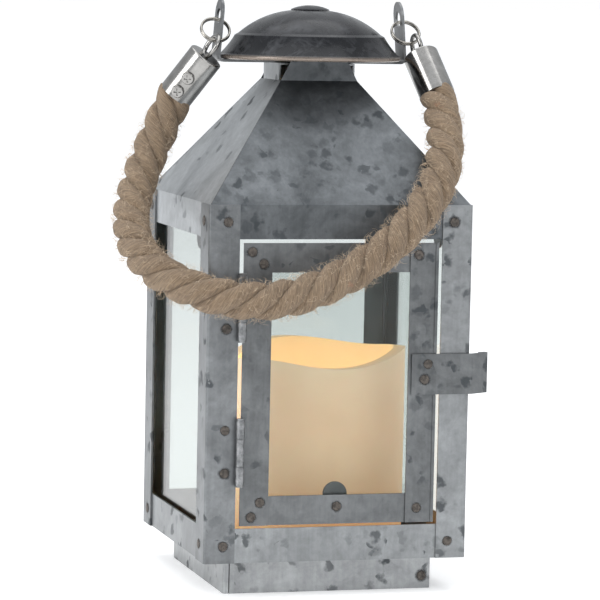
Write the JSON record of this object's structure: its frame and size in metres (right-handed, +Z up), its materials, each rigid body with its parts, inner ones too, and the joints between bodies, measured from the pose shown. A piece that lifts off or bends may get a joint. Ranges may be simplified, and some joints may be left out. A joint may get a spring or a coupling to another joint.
{
  "type": "candle lantern",
  "caption": "Square sheet-metal candle lantern with a glazed hinged door, hipped roof, domed cap and a thick rope handle, holding a battery pillar candle.",
  "frame": {"origin": "centre of the plinth on the plane the lantern stands on", "axes": "+Z up, the door faces -Y, +X to the right seen from the door side"},
  "size_m": [0.1523, 0.1363, 0.2396],
  "materials": {
    "galvanised": "hot-dip galvanised sheet with a mottled dull spangle",
    "cap_metal": "dark glossy finish with cloudy grey mottling",
    "spring_steel": "bright spring steel",
    "hinge_steel": "dull zinc plate",
    "weld_mark": "burnt brown spot weld",
    "nickel": "bright nickel plate",
    "rope": "three-strand twisted natural fibre",
    "glass": "clear float glass",
    "wax": "cream paraffin, lit from within",
    "flame": "moulded translucent flame",
    "board": "glass-fibre circuit board",
    "box_plastic": "moulded white plastic",
    "switch_plastic": "black plastic",
    "cell_sleeve": "plain dark printed sleeve",
    "contact_metal": "plated spring brass"
  },
  "bodies": {
    "lantern": {"plinth": "galvanised", "base_plate": "galvanised", "floor_tray": "galvanised", "post_front_left": "galvanised", "post_front_right": "galvanised", "post_rear_left": "galvanised", "post_rear_right": "galvanised", "rail_front": "galvanised", "rail_rear": "galvanised", "rail_left": "galvanised", "rail_right": "galvanised", "roof_front": "galvanised", "roof_rear": "galvanised", "roof_left": "galvanised", "roof_right": "galvanised", "cap": "cap_metal", "cap_rivet": "cap_metal", "handle_strap": "galvanised", "glass_left": "glass", "glass_right": "glass", "glass_rear": "glass", "glass_clips": "spring_steel", "body_welds": "weld_mark", "hinge_leaf_lower": "hinge_steel", "hinge_leaf_upper": "hinge_steel", "hinge_pin_lower": "hinge_steel", "hinge_pin_upper": "hinge_steel"},
    "door": {"door_stile_left": "galvanised", "door_stile_right": "galvanised", "door_rail_bottom": "galvanised", "door_rail_top": "galvanised", "door_glass": "glass", "door_clip": "spring_steel", "door_leaf_lower": "hinge_steel", "door_leaf_upper": "hinge_steel", "latch": "galvanised", "door_welds": "weld_mark"},
    "candle": {"candle_shell": "wax", "candle_flame": "flame", "led_board": "board", "battery_box": "box_plastic", "battery_hatch": "box_plastic", "batteries": "cell_sleeve", "battery_contacts": "contact_metal"},
    "candle_switch": {"candle_switch": "switch_plastic"},
    "rings": {"ring_left": "nickel", "ring_right": "nickel"},
    "handle": {"eye_left": "nickel", "eye_right": "nickel", "ferrule_left": "nickel", "ferrule_right": "nickel", "ferrule_screws_left": "nickel", "ferrule_screws_right": "nickel", "rope": "rope"}
  },
  "joints": [
    {"name": "door_swing", "type": "hinge", "parent": "lantern", "child": "door", "pos_m": [-0.04145, -0.05755, 0.08845], "axis": [0, 0, -1], "range_deg": [0, 110]},
    {"name": "handle_swing", "type": "hinge", "parent": "lantern", "child": "rings", "pos_m": [0, 0, 0.2324], "axis": [-1, 0, 0], "range_deg": [0, 160]},
    {"name": "handle_lift", "type": "hinge", "parent": "rings", "child": "handle", "pos_m": [0, -0.00776, 0.22233], "axis": [-1, 0, 0], "range_deg": [0, 110]},
    {"name": "candle_lift", "type": "slide", "parent": "lantern", "child": "candle", "axis": [0, 0, 1], "range_m": [0, 0.04]},
    {"name": "switch_slide", "type": "slide", "parent": "candle", "child": "candle_switch", "axis": [1, 0, 0], "range_m": [0, 0.003]}
  ],
  "couplings": [
    {"joint": "handle_lift", "follows": "door_swing", "ratio": 1}
  ]
}
